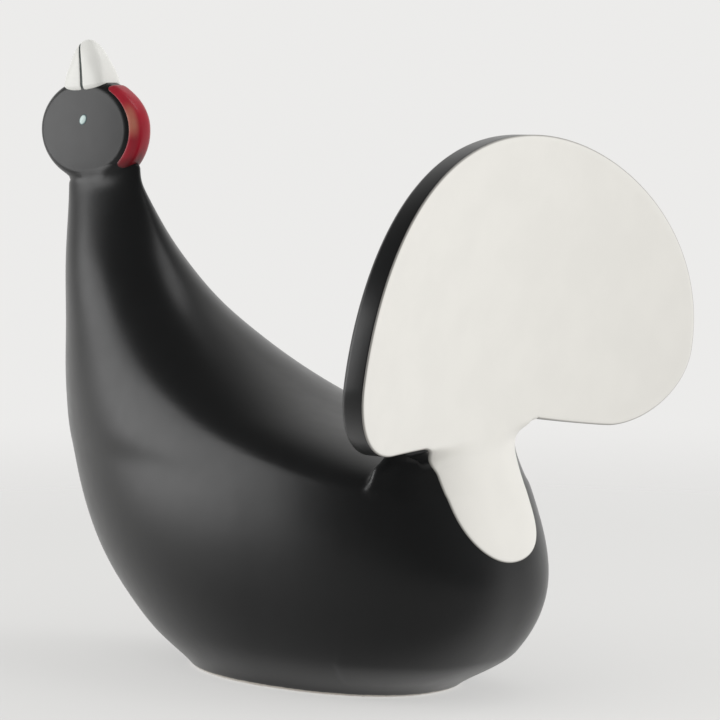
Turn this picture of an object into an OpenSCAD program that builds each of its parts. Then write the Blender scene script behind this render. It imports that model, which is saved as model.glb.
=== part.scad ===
// Capercaillie figurine in slip-cast, glazed porcelain.
// The bird faces -X with its beak raised, its left side is -Y, and +Z is up.
// The origin is the centre of the foot, on the surface that the bird stands on.

/* [Foot and belly] */
// Length of the flat foot, along the bird
foot_len = 91; // [70:1:110]
// Width of the flat foot
foot_w = 54; // [40:1:62]
// Height of the turn where the sides flare out above the foot
flare_z = 12; // [8:1:18]
// Front of the body at the flare
flare_front = 65; // [58:1:70]
// Rear of the body at the flare
flare_rear = 66; // [60:1:70]
// Half width of the body at the flare
flare_half_w = 35; // [32:1:37]
// Height of the fullest part of the belly
belly_z = 35; // [28:1:42]
// Front of the belly
belly_front = 87; // [80:1:92]
// Rear of the belly, at the rump
belly_rear = 75; // [70:1:80]
// Half width of the belly
belly_half_w = 39; // [36:1:44]

/* [Back and neck] */
// Height of the side ridge where the flat back begins
ridge_z = 65; // [60:1:68]
// Front of the breast at the ridge
ridge_front = 100; // [94:1:104]
// Half width of the body at the ridge
ridge_half_w = 38; // [35:1:40]
// Where the back, drawn on, would meet the ridge's height behind the bird
back_rear = 66; // [58:1:68]
// Height of the shoulder
shoulder_z = 83; // [79:1:87]
// Front of the shoulder
shoulder_front = 102; // [97:1:105]
// Rear of the shoulder, on the back's slope
shoulder_rear = 3; // [-5:1:10]
// Half width of the shoulder
shoulder_half_w = 32; // [29:1:35]
// Height of the lower neck
neck_z = 106; // [101:1:111]
// Front of the lower neck
neck_front = 103; // [99:1:106]
// Rear of the lower neck, in front of the foot's centre
neck_rear = -40; // [-46:1:-34]
// Half width of the lower neck
neck_half_w = 22; // [19:1:25]
// Height of the upper neck
throat_z = 126; // [122:1:131]
// Front of the upper neck
throat_front = 104; // [100:1:107]
// Rear of the upper neck, in front of the foot's centre
throat_rear = -64; // [-68:1:-60]
// Half width of the upper neck
throat_half_w = 14.5; // [12:0.5:17]
// Height of the nape, where the neck's rounded top begins
nape_z = 149; // [146:0.5:152]
// Front of the neck at the nape
nape_front = 104.5; // [101:0.5:106]
// Rear of the neck at the nape, in front of the foot's centre
nape_rear = -78.5; // [-81:0.5:-76]
// Half width of the neck at the nape
nape_half_w = 6.8; // [6.4:0.1:8]
// Rounding of the neck's top, around the head's seat
nape_round = 5; // [3:0.5:6]

/* [Casting] */
// Thickness of the cast wall
wall = 5; // [4:0.5:7]
// Height of the hollow inside the body
hollow_z = 100; // [80:1:110]
// Diameter of the vent hole in the foot
vent_d = 8; // [5:0.5:12]
// Place of the vent hole behind the foot's centre
vent_x = 20; // [12:1:30]
// Slip left between two pieces that are luted together
joint = 0.15; // [0.1:0.05:0.3]
// Thickness of the white glaze on the tail
glaze = 0.5; // [0.3:0.1:0.8]

/* [Tail] */
// Half width of the fan
fan_half_w = 78; // [70:1:84]
// Height of the fan's widest line above the foot
fan_wide_z = 99; // [96:1:104]
// Rise of the fan above its widest line
fan_rise = 66; // [58:1:72]
// Drop of the fan's lobes below its widest line
lobe_drop = 22; // [18:1:24]
// Half width of each rounded lobe, measured in from the fan's side
lobe_half_w = 26; // [20:1:30]
// Rear face of the fan at its widest line, behind the foot's centre
fan_x = 68.5; // [66:0.5:71]
// Backward lean of the fan, in degrees
fan_lean = 9.3; // [6:0.1:12]
// Backward sweep of the fan's sides
fan_sweep = 14; // [8:1:18]
// Thickness of the fan
fan_t = 7.6; // [6:0.2:9]
// Rounding of the fan's edges
fan_round = 1.4; // [0.8:0.1:2]
// Half width of the fan's seat on the root
seat_half_w = 24; // [21:1:28]
// Height to which the tail's root rises under the lobes
root_z = 81; // [79:1:83]
// Front of the tail's root, behind the foot's centre
root_front = 46.5; // [44:0.5:49]
// Half width of the white tongue where the stem leaves the fan
tongue_half_w = 21.5; // [18:0.5:24]
// Height of the white tongue's tip on the rump
tongue_z = 41; // [38:1:50]

/* [Head] */
// Length of the flat, oval head, from front to back
head_len = 41.6; // [39:0.2:44]
// Height of the head
head_h = 32.8; // [31:0.2:35]
// Thickness of the head
head_t = 11.2; // [10:0.2:12]
// Rounding of the head's edges
head_round = 3.4; // [2.5:0.1:4]
// Crown of the head's faces
head_crown = 0.7; // [0.4:0.1:1.2]
// Depth to which the head is sunk in the neck's top
head_sink = 5.2; // [4:0.2:6]
// Centre of the head behind the front of the nape
head_back = 8.7; // [7:0.1:11]
// Turn of the head to the bird's left, in degrees
head_turn = 0; // [-15:1:15]
// Height of the red comb over the head's rim
comb_h = 1.5; // [1:0.1:2.5]
// Width of the red comb
comb_w = 8.8; // [7:0.2:9.4]
// Where the comb begins above the level of the head's centre, in degrees
comb_top = 56; // [48:1:58]
// Where the comb ends below the level of the head's centre, in degrees
comb_end = 48; // [30:1:50]

/* [Beak and eyes] */
// Depth of the beak at its base, from throat to crown
beak_depth = 21.6; // [19:0.2:23]
// Width of the beak at its base
beak_w = 10.8; // [10:0.1:11.1]
// Length of the beak above its seat on the head
beak_len = 15.9; // [13:0.1:18]
// Depth to which the beak's seat lies below the head's top
beak_sink = 3.4; // [2.8:0.1:4]
// Depth of the beak at its tip
beak_tip = 8; // [6:0.2:9]
// Width of the beak at its tip
beak_tip_w = 6; // [4.6:0.2:7]
// Forward tilt of the beak, in degrees
beak_tilt = 7.6; // [4:0.1:10]
// Width of the mouth groove in the beak
mouth_w = 0.9; // [0.6:0.1:1.2]
// Depth of the mouth groove
mouth_deep = 0.6; // [0.4:0.1:0.8]
// Diameter of each enamel eye
eye_d = 2.7; // [2:0.1:3.4]
// Height of the eyes above the head's centre
eye_rise = 3.1; // [1:0.1:5]

/* [Hidden] */

black_glaze = [0.07, 0.07, 0.07];
white_glaze = [0.93, 0.92, 0.88];
red_enamel = [0.70, 0.06, 0.12];

// Stations from the foot to the nape: height, front and half width
station_z = [0, flare_z, belly_z, ridge_z, shoulder_z, neck_z, throat_z, nape_z];
station_front = [
    -foot_len / 2, -flare_front, -belly_front, -ridge_front,
    -shoulder_front, -neck_front, -throat_front, -nape_front
];
station_half_w = [
    foot_w / 2, flare_half_w, belly_half_w, ridge_half_w,
    shoulder_half_w, neck_half_w, throat_half_w, nape_half_w
];
// Squareness of the rear half of each section: 2 is an ellipse
station_square = [2.2, 2.6, 2.9, 2.9, 2.6, 2.3, 2.1, 2];

// Widest line of the sections, below the ridge and above it, as a share of the way from front to rear
trunk_mid = foot_len / 18;
shoulder_share = 0.615;
neck_share = 0.55;
mid_below = [0, trunk_mid, trunk_mid, trunk_mid];
mid_above = [
    trunk_mid, shoulder_rear * shoulder_share - shoulder_front * (1 - shoulder_share),
    neck_rear * neck_share - neck_front * (1 - neck_share),
    (throat_rear - throat_front) / 2, (nape_rear - nape_front) / 2
];

// Rear line below the ridge, carried on up the tail's root to the fan's seat
stem_z = (ridge_z + root_z) / 2;
rump_z = [0, flare_z, belly_z, stem_z, root_z];
rump_rear = [foot_len / 2, flare_rear, belly_rear, fan_rear(0, stem_z), fan_rear(0, root_z)];
// Rear line above the ridge, which is the bird's back
back_z = [ridge_z, shoulder_z, neck_z, throat_z, nape_z];
back_line = [back_rear, shoulder_rear, neck_rear, throat_rear, nape_rear];

// Half width and squareness of the root at its stem, where its rear is roundest
stem_half_w = 1.08 * ridge_half_w;
stem_square = 2.3;
// How much the root widens and squares off where it runs into the lobes
root_spread = fan_half_w / 26;
root_squaring = 3.6;
// How far the root's front leans back up to its shoulder, and the shoulder's height under the fan's seat
root_lean = fan_t / 3;
root_shoulder = fan_t / 2;
// How far the root's foot is drawn in where it stands inside the trunk
root_inset = wall / 5;
// Width and drop over which the white runs from the tongue's edge into the lobes
seat_run = seat_half_w / 8;
seat_drop = glaze * 2;
// Powers that shape the tongue's rounded end, and crowd its points towards the tip
tongue_power = 2.2;
tongue_crowding = 1.6;
// Rounding of the glaze's edge
glaze_round = 0.4 * glaze;
// Depth of the glaze that pools in the bend at the seat, and how far up and down it runs
pool = 1.6 * glaze;
pool_run = 8 * glaze;
// Share of the tongue's half width over which the pool rises to its full depth
pool_rise = 0.55;
// Middle of the fan's face, from which its rings are drawn
hub = [0, fan_wide_z + 0.15 * fan_rise];
// Rise between the ridge's edge and the back, so that no two rings coincide
ledge = 0.05;

// Head's centre, and the flat band in the middle of its rim
head_x = head_back - nape_front;
head_z = nape_z + nape_round - head_sink + head_h / 2;
rim_half_w = head_t / 2 - head_crown - head_round;
// Share of the comb's run over which each end dies out, how much it narrows there, and its least height
comb_fade = 0.12;
comb_narrowing = 0.2;
comb_least = 0.15;
// Squareness of the beak's sections: the power of sine and cosine at its base and at its tip
beak_power = [0.5, 0.82];
// Bluntness of the beak's tip: how late and how sharply its sections close, and the last one's share
beak_blunt = 1.3;
beak_close = 0.45;
beak_least = 0.02;
// Places of the eye and the beak's seat, forward of the head's centre
eye_x = -head_len / 200;
beak_x = -head_len / 60;
// Thickness of the eye's enamel
eye_t = glaze;

// Numbers of rings and sides
ring_sides = 46;
root_sides = 30;
trunk_rings = 12;
neck_rings = 16;
hollow_rings = 5;
rim_sides = 14;
lobe_sides = 6;
comb_rings = 16;
comb_sides = 8;
beak_rings = 10;
beak_sides = 24;
head_sides = 44;
// Rings across the faces of the head, the fan and the glaze, as shares of their outlines
face_shares = [0.2, 0.65];
fan_shares = [0.15, 0.33, 0.49, 0.62, 0.72, 0.82, 0.92];
glaze_shares = [0.15, 0.34, 0.4, 0.44, 0.48, 0.52, 0.57, 0.66, 0.79, 0.92];

// Slope of a smooth curve at station i
function tangent(zs, vs, i) =
    let (a = max(i - 1, 0), b = min(i + 1, len(zs) - 1))
    (vs[b] - vs[a]) / (zs[b] - zs[a]);

// Number of the span between stations that holds z
function span(z, zs, i = 0) = i >= len(zs) - 2 || z < zs[i + 1] ? i : span(z, zs, i + 1);

// Smooth curve through the stations, read at z
function along(z, zs, vs) =
    let (
        i = span(z, zs),
        h = zs[i + 1] - zs[i],
        t = (z - zs[i]) / h,
        m0 = tangent(zs, vs, i) * h,
        m1 = tangent(zs, vs, i + 1) * h
    )
    vs[i] * (2 * t ^ 3 - 3 * t ^ 2 + 1) + m0 * (t ^ 3 - 2 * t ^ 2 + t)
        + vs[i + 1] * (3 * t ^ 2 - 2 * t ^ 3) + m1 * (t ^ 3 - t ^ 2);

// Signed power, for superellipses
function spow(v, p) = sign(v) * abs(v) ^ p;

// Backward sweep of the fan at a place across it
function sweep(y) = fan_sweep * (y / fan_half_w) ^ 2;

// Rear face of the fan at a place across and up
function fan_rear(y, z) = fan_x + tan(fan_lean) * (z - fan_wide_z) + sweep(y);

// Share of the root's widening at height z: 0 at the stem, 1 at the fan's seat
function widening(z) = max(0, min(1, (z - stem_z) / (root_z - stem_z))) ^ 2;

// Rear line of the body at height z, from the foot up the rump to the fan's seat
function rump(z) = along(z, rump_z, rump_rear);

// Share of the root's rounding at height z: 0 at the ridge, 1 at the stem
function rounding(z) =
    let (t = max(0, min(1, (z - ridge_z) / (stem_z - ridge_z))))
    t ^ 2 * (3 - 2 * t);

// Value of the rump's rear arc at height z, which turns into the stem's above the ridge
function rump_value(z, vs, stem, spread) =
    let (low = along(min(z, ridge_z), station_z, vs))
    low + (stem - low) * rounding(z) + spread * widening(z);

// Half width and squareness of the rump's rear arc at height z
function rump_half_w(z) = rump_value(z, station_half_w, stem_half_w, root_spread);
function rump_square(z) = rump_value(z, station_square, stem_square, root_squaring);

// Rear surface of the rump and root at a place across and up
function rump_surface(y, z) =
    let (n = rump_square(z), share = min(1, abs(y) / rump_half_w(z)), mid = middle(z))
    mid + (rump(z) - mid) * (1 - share ^ n) ^ (1 / n) + widening(z) * sweep(y);

// Widest line of the body at height z, up to the ridge and on up the tail's root
function middle(z) = along(min(z, ridge_z), [for (i = [0:3]) station_z[i]], mid_below);

// One level section of the body: an ellipse in front, squared off behind
function section(z, mid, rear, inset) =
    let (
        front = along(z, station_z, station_front) + inset,
        half_w = along(z, station_z, station_half_w) - inset,
        square = along(z, station_z, station_square)
    )
    [for (i = [0:ring_sides - 1])
        let (
            a = 360 * i / ring_sides,
            c = cos(a),
            p = c > 0 ? 2 / square : 1,
            x = mid + (c > 0 ? rear - inset - mid : mid - front) * spow(c, p)
        )
        [x, half_w * spow(sin(a), p), z]
    ];

// Section of the trunk, from the foot to the ridge
function trunk_section(z, inset = 0) = section(z, middle(z), rump(z), inset);

// Section of the breast, back and neck, cut off where the tail's root stands
function neck_section(z, inset = 0) =
    let (level = max(z, ridge_z), rear = along(level, back_z, back_line))
    [for (p = section(z, along(level, back_z, mid_above), rear, inset))
        [min(p[0], root_front + root_lean - inset), p[1], p[2]]
    ];

// Section of the tail's root: the rump's rear arc, cut across in front
function root_section(z, inset = 0) =
    let (
        n = rump_square(z),
        mid = middle(z),
        reach = rump(z) - mid - inset,
        front = lookup(z, [
            [ridge_z, root_front], [root_z - root_shoulder, root_front + root_lean],
            [root_z, fan_rear(0, root_z) - fan_t]
        ]) - mid,
        edge = acos((front / reach) ^ (n / 2)),
        half_w = (rump_half_w(z) - inset) * sin(edge) ^ (2 / n),
        rear = [for (i = [0:root_sides])
            let (a = edge * (2 * i / root_sides - 1), y = (rump_half_w(z) - inset) * spow(sin(a), 2 / n))
            [mid + reach * cos(a) ^ (2 / n) + widening(z) * sweep(y), y, z]],
        across = [for (i = [1:7])
            let (y = half_w * (1 - i / 4))
            [mid + front + widening(z) * sweep(y), y, z]]
    )
    concat(rear, across);

// Closed solid through a stack of rings that all have as many points
module loft(rings) {
    n = len(rings[0]);
    m = len(rings);
    middle = function(ring) [for (p = ring) 1 / n] * ring;
    points = concat([for (ring = rings) each ring], [middle(rings[0]), middle(rings[m - 1])]);
    sides = [for (j = [0:m - 2], i = [0:n - 1])
        let (a = j * n + i, b = j * n + (i + 1) % n)
        each [[a, a + n, b], [b, a + n, b + n]]
    ];
    caps = [for (i = [0:n - 1])
        let (k = (i + 1) % n)
        each [[i, k, n * m], [(m - 1) * n + k, (m - 1) * n + i, n * m + 1]]
    ];
    polyhedron(points, concat(sides, caps), convexity = 8);
}

// Rounded plate inside an outline of [across, up] points, between two faces
// that are functions of a place across and up
module plate(outline, rear, front, round, shares) {
    ring = function(share, inset, deep, face)
        [for (p = outline)
            let (q = hub + (p - hub) * (1 - inset / norm(p - hub)) * share)
            [face(q[0], q[1]) + deep, q[0], q[1]]
        ];
    last = len(shares) - 1;
    turns = [0, 45, 90];
    loft(concat(
        [for (s = shares) ring(s, round, 0, rear)],
        [for (a = turns) ring(1, round * (1 - sin(a)), -round * (1 - cos(a)), rear)],
        [for (a = turns) ring(1, round * (1 - cos(a)), round * (1 - sin(a)), front)],
        [for (i = [last:-1:0]) ring(shares[i], round, 0, front)]
    ));
}

// Outline drawn out from the fan's hub by a gap
function grown(outline, gap) = [for (p = outline) hub + (p - hub) * (1 + gap / norm(p - hub))];

// Right half of the fan's outline, from its top to the lobe's lowest point
function lobe_half() = concat(
    [for (i = [0:rim_sides]) let (a = 90 * i / rim_sides)
        [fan_half_w * sin(a), fan_wide_z + fan_rise * cos(a)]],
    [for (i = [1:lobe_sides]) let (a = 90 * i / lobe_sides)
        [fan_half_w - lobe_half_w * (1 - cos(a)), fan_wide_z - lobe_drop * sin(a)]]
);

// Underside of the right lobe, from its lowest point up to a place on the stem
function underside(end) =
    let (start = [fan_half_w - lobe_half_w, fan_wide_z - lobe_drop])
    [for (i = [1:5]) let (t = i / 5)
        [start[0] + (end[0] - start[0]) * t, start[1] + (end[1] - start[1]) * t ^ 2]
    ];

// Whole outline from its right half, whose ends lie on the bird's middle
function mirrored(half) =
    concat(half, [for (i = [len(half) - 2:-1:1]) [-half[i][0], half[i][1]]]);

// Outline of the fan, seated on the root
function fan_outline() = mirrored(concat(
    lobe_half(), underside([seat_half_w, root_z]), [[seat_half_w / 2, root_z], [0, root_z]]
));

// Half width of the white tongue at height z
function tongue(z) = tongue_half_w * sqrt(1 - ((stem_z - z) / (stem_z - tongue_z)) ^ tongue_power);

// Outline of the white glaze: the fan, and the tongue that runs down the rump
function glaze_outline() =
    let (wide = seat_half_w + seat_run, top = root_z - seat_drop)
    mirrored(concat(
        lobe_half(), underside([wide, top]),
        [for (i = [1:4]) let (a = 90 * i / 5)
            [wide - (wide - tongue_half_w) * sin(a), stem_z + (top - stem_z) * cos(a)]],
        [for (i = [0:9])
            let (z = tongue_z + (stem_z - tongue_z) * (1 - i / 10) ^ tongue_crowding) [tongue(z), z]],
        [[0, tongue_z]]
    ));

// Surface under the white glaze: the fan, and below its seat the root and rump,
// which runs over into the lobes beside the seat
function glaze_bed(y, z) =
    let (side = max(0, min(1, (abs(y) - tongue_half_w) / (seat_half_w + seat_run - tongue_half_w))))
    (z > root_z ? fan_rear(y, z) : rump_surface(y, z) * (1 - side) + fan_rear(y, z) * side)
        + pooled(y, z);

// Depth of the glaze that pools in the bend at the fan's seat
function pooled(y, z) =
    pool * min(1, abs(y) / tongue_half_w / pool_rise) * exp(-((z - root_z + pool_run / 4) / pool_run) ^ 2);

// How far the head's rim is drawn in at a distance across from its middle
function rim_drop(y) =
    let (d = max(0, abs(y) - rim_half_w))
    head_round - sqrt(max(0, head_round ^ 2 - d ^ 2));

// Half thickness of the head at a share of the way from its face's centre to the face's edge
function face(share) = head_t / 2 - head_crown * share ^ 2;

// Place on the head's oval at an angle, drawn in by an inset and moved across
function on_oval(angle, inset, y, share = 1) = [
    share * (head_len / 2 - inset) * cos(angle), y, share * (head_h / 2 - inset) * sin(angle)
];

// Oval head about its own centre, grown by a gap where another piece is cut to it
module head_solid(grow = 0) {
    ring = function(y, inset, share = 1)
        [for (i = [0:head_sides - 1]) on_oval(360 * i / head_sides, inset, y, share)];
    edge = function(side, a)
        ring(side * (rim_half_w + (head_round + grow) * sin(a)), head_round - (head_round + grow) * cos(a));
    crown = function(side, share) ring(side * (face(share) + grow), head_round, share);
    loft(concat(
        [for (share = face_shares) crown(1, share)],
        [for (a = [90:-30:0]) edge(1, a)],
        [for (a = [0:30:90]) edge(-1, a)],
        [for (i = [len(face_shares) - 1:-1:0]) crown(-1, face_shares[i])]
    ));
}

// Puts a piece of the head where the head is
module on_head() {
    translate([head_x, 0, head_z])
        rotate([0, 0, head_turn])
            children();
}

// Solid form of the body and neck, without the tail's root
module trunk_and_neck() {
    rise = nape_z - ridge_z - ledge;
    loft(concat(
        [for (j = [0:trunk_rings]) trunk_section(ridge_z * (j / trunk_rings) ^ 1.5)],
        [for (j = [0:neck_rings]) neck_section(ridge_z + ledge + rise * (j / neck_rings) ^ 1.3)],
        [for (a = [30, 60, 85])
            [for (p = neck_section(nape_z, nape_round * (1 - cos(a))))
                [p[0], p[1], nape_z + nape_round * sin(a)]]]
    ));
}

// Root that rises behind the back and carries the fan
module tail_root() {
    loft(concat(
        [for (z = [ridge_z - wall, ridge_z - ledge]) root_section(z, root_inset)],
        [for (j = [0:8]) root_section(ridge_z + (root_z - joint - ridge_z) * j / 8)]
    ));
}

// Hollow left by the poured slip, with its vent through the foot
module hollow() {
    lower = ridge_z - 2 * wall;
    upper = hollow_z - ridge_z + wall - ledge;
    loft(concat(
        [for (j = [0:hollow_rings]) trunk_section(wall + lower * j / hollow_rings, wall)],
        [for (j = [0:hollow_rings]) neck_section(ridge_z - wall + ledge + upper * j / hollow_rings, wall)]
    ));
    translate([vent_x, 0, -1])
        cylinder(d = vent_d, h = wall + 2, $fn = 32);
}

// Beak about its own axis, its seat at height 0, drawn in by an inset
module beak_solid(inset = 0) {
    loft([for (j = [0:beak_rings])
        let (
            t = j / beak_rings,
            z = (beak_len - inset + beak_sink) * sin(90 * t) - beak_sink,
            share = max(0, z / beak_len),
            close = max(beak_least, min(1, beak_blunt * cos(90 * t) ^ beak_close)),
            a = close * ((beak_depth + (beak_tip - beak_depth) * share) / 2 - inset),
            b = close * ((beak_w + (beak_tip_w - beak_w) * share) / 2 - inset),
            power = beak_power[0] + (beak_power[1] - beak_power[0]) * share
        )
        [for (i = [0:beak_sides - 1])
            let (g = 360 * i / beak_sides)
            [a * spow(cos(g), power), b * spow(sin(g), power), z]
        ]
    ]);
}

module body_shell() {
    color(black_glaze)
        resize([0, 0, 0])
            difference() {
                union() {
                    trunk_and_neck();
                    tail_root();
                }
                hollow();
                on_head() head_solid(joint);
                plate(grown(fan_outline(), joint),
                    function(y, z) fan_rear(y, z) + joint,
                    function(y, z) fan_rear(y, z) - fan_t - joint, fan_round, fan_shares);
            }
}

module tail_fan() {
    color(black_glaze)
        plate(fan_outline(), function(y, z) fan_rear(y, z),
            function(y, z) fan_rear(y, z) - fan_t, fan_round, fan_shares);
}

module tail_glaze() {
    color(white_glaze)
        plate(glaze_outline(), function(y, z) glaze_bed(y, z) + joint + glaze,
            function(y, z) glaze_bed(y, z) + joint, glaze_round, glaze_shares);
}

module head() {
    color(black_glaze)
        on_head() head_solid();
}

module comb() {
    color(red_enamel)
        on_head()
            loft([for (j = [0:comb_rings])
                let (
                    t = j / comb_rings,
                    a = (comb_top + comb_end) * t - comb_end,
                    end = min(1, t / comb_fade, (1 - t) / comb_fade),
                    full = max(comb_least, sqrt(1 - (1 - end) ^ 2)),
                    half_w = comb_w / 2 * (1 - comb_narrowing * (1 - full)),
                    line = [for (i = [0:comb_sides]) half_w * sin(90 * (2 * i / comb_sides - 1))],
                    rise = function(y) ledge + comb_h * full * sqrt(max(0, 1 - (y / half_w) ^ 2))
                )
                concat(
                    [for (y = line) on_oval(a, rim_drop(y) - joint - rise(y), y)],
                    [for (i = [comb_sides:-1:0]) on_oval(a, rim_drop(line[i]) - joint, line[i])]
                )
            ]);
}

module beak() {
    color(white_glaze)
        on_head()
            resize([0, 0, 0])
                difference() {
                    translate([beak_x, 0, head_h / 2 - beak_sink])
                        rotate([0, -beak_tilt, 0]) {
                            beak_solid(mouth_deep);
                            difference() {
                                beak_solid();
                                translate([-mouth_w / 2, -beak_w, -beak_w])
                                    cube([mouth_w, 2 * beak_w, beak_w + beak_len - mouth_w]);
                            }
                        }
                    head_solid(joint);
                }
}

module eyes() {
    seat = face(norm([eye_x, eye_rise]) / (head_h / 2 - head_round)) + joint;
    color(white_glaze)
        on_head()
            for (side = [-1, 1])
                translate([eye_x, side * seat, eye_rise])
                    rotate([-90 * side, 0, 0])
                        cylinder(d1 = eye_d, d2 = eye_d - eye_t, h = eye_t, $fn = 32);
}

body_shell();
tail_fan();
tail_glaze();
head();
comb();
beak();
eyes();
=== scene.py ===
"""Looks of a capercaillie figurine in glazed ceramic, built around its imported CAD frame.

The bird faces -X, its left side is -Y and +Z is up. The classes hold their sizes in millimetres, and
every mesh is turned into metres where it becomes a Blender object.
"""

import logging
import math
from collections.abc import Mapping, Sequence
from dataclasses import dataclass, field
from enum import Enum
from typing import Any, Union

import bpy
import numpy as np
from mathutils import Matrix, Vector


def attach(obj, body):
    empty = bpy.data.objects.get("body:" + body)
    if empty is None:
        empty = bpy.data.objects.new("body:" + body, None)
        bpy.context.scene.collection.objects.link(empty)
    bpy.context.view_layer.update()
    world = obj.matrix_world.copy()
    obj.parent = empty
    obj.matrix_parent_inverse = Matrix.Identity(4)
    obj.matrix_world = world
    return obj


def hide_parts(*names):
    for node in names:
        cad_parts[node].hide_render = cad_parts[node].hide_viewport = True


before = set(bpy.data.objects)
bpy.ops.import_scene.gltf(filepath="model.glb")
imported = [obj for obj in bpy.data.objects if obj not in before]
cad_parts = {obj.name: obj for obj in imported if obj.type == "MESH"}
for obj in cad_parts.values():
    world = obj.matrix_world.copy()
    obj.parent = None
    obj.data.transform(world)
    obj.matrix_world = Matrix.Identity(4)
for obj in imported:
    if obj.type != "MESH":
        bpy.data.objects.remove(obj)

LOG = logging.getLogger("capercaillie")
MM = 0.001
Array = np.ndarray
Colour = tuple[float, float, float]
Span = tuple[float, float]


class Slot(Enum):
    """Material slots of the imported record."""

    BLACK = "black_glaze"
    WHITE = "white_glaze"
    RED = "red_enamel"
    BEAK = "beak_glaze"
    EYE = "eye_enamel"


class Side(Enum):
    """The two sides of the bird, as the sign of Y."""

    LEFT = -1
    RIGHT = 1


# Curves and grids


def through(z: Array, places: Sequence[float], values: Sequence[float]) -> Array:
    """Reads a smooth curve through stations.

    Between two stations the curve is a cubic Hermite span, whose slope at a station is the slope
    of the straight line between that station's two neighbours.

    Args:
        z: Places at which the curve is read, held inside the first and last station.
        places: Rising places of the stations.
        values: The curve's value at each station.

    Returns:
        The curve's value at each z.
    """
    at, value = np.asarray(places, float), np.asarray(values, float)
    before = np.r_[0, np.arange(len(at) - 1)]
    after = np.r_[np.arange(1, len(at)), len(at) - 1]
    slope = (value[after] - value[before]) / (at[after] - at[before])
    z = np.clip(z, at[0], at[-1])
    i = np.clip(np.searchsorted(at, z, side="right") - 1, 0, len(at) - 2)
    h = at[i + 1] - at[i]
    t = (z - at[i]) / h
    rise = t * t * (3 - 2 * t)
    return (
        value[i] * (1 - rise) + value[i + 1] * rise
        + h * (slope[i] * (t ** 3 - 2 * t ** 2 + t) + slope[i + 1] * (t ** 3 - t ** 2))
    )


def smoothstep(low: Union[float, Array], high: Union[float, Array], v: Array) -> Array:
    """Rises from 0 at low to 1 at high as 3 t squared less 2 t cubed."""
    t = np.clip((v - low) / (high - low), 0, 1)
    return t * t * (3 - 2 * t)


def between(ends: tuple[Any, Any], share: Any) -> Any:
    """Goes from the first end to the second by a share, for numbers, arrays and node values."""
    return ends[0] + (ends[1] - ends[0]) * share


def soft_max(a: Array, b: Array, k: Union[float, Array]) -> Array:
    """Larger of two fields, plus (k - gap) squared over 4 k where they lie closer than k."""
    k = np.maximum(k, 1e-6)
    return np.maximum(a, b) + np.maximum(k - np.abs(a - b), 0) ** 2 / (4 * k)


def soft_min(a: Array, b: Array, k: Union[float, Array]) -> Array:
    """Smaller of two fields, with the corner filled as soft_max cuts it."""
    return -soft_max(-a, -b, k)


def spaced(points: Array, count: int) -> Array:
    """Spreads points evenly along a closed line.

    Args:
        points: Corners of the line, one row each, without the first repeated.
        count: Number of points to return.

    Returns:
        Points at equal distances along the line, starting at the first corner.
    """
    closed = np.vstack([points, points[:1]])
    run = np.r_[0, np.cumsum(np.linalg.norm(np.diff(closed, axis=0), axis=1))]
    at = np.linspace(0, run[-1], count, endpoint=False)
    return np.stack([np.interp(at, run, closed[:, i]) for i in range(points.shape[1])], axis=1)


def ring_quads(rows: int, columns: int) -> Array:
    """Four-sided faces between a stack of closed rings.

    Args:
        rows: Number of rings.
        columns: Points in each ring.

    Returns:
        Four point numbers for each face.
    """
    start = np.arange(rows - 1)[:, None] * columns + np.arange(columns)
    near = np.arange(rows - 1)[:, None] * columns + (np.arange(columns) + 1) % columns
    return np.stack([start, start + columns, near + columns, near], axis=-1).reshape(-1, 4)


@dataclass
class Surface:
    """A closed mesh: points in millimetres, faces, and numbers that the finish reads at each point."""

    points: Array
    faces: list[list[int]]
    marks: dict[str, Array] = field(default_factory=dict)

    @classmethod
    def from_rings(cls, rings: Array, marks: Mapping[str, Array] | None = None) -> "Surface":
        """Closes a stack of rings into a solid, with a point in the middle of each end.

        Args:
            rings: Array of rings by points by 3, each ring closed, wound clockwise as seen from
                the last ring, so that faces look outwards.
            marks: Numbers at each ring point, of rings by points.

        Returns:
            The closed surface.
        """
        rows, columns = rings.shape[:2]
        points = np.vstack([rings.reshape(-1, 3), rings[0].mean(0), rings[-1].mean(0)])
        i = np.arange(columns)
        k = (i + 1) % columns
        last = (rows - 1) * columns
        low = np.stack([i, k, np.full(columns, rows * columns)], axis=1)
        high = np.stack([last + k, last + i, np.full(columns, rows * columns + 1)], axis=1)
        held = {
            name: np.r_[v.ravel(), v[0].mean(), v[-1].mean()] for name, v in (marks or {}).items()
        }
        return cls(points, ring_quads(rows, columns).tolist() + low.tolist() + high.tolist(), held)

    def joined(self, other: "Surface") -> "Surface":
        """Puts another surface's points and faces after this one's.

        Args:
            other: A surface with the same marks.

        Returns:
            The two as one surface.
        """
        shift = len(self.points)
        faces = self.faces + [[i + shift for i in face] for face in other.faces]
        marks = {name: np.r_[v, other.marks[name]] for name, v in self.marks.items()}
        return Surface(np.vstack([self.points, other.points]), faces, marks)


# Shader maths


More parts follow.
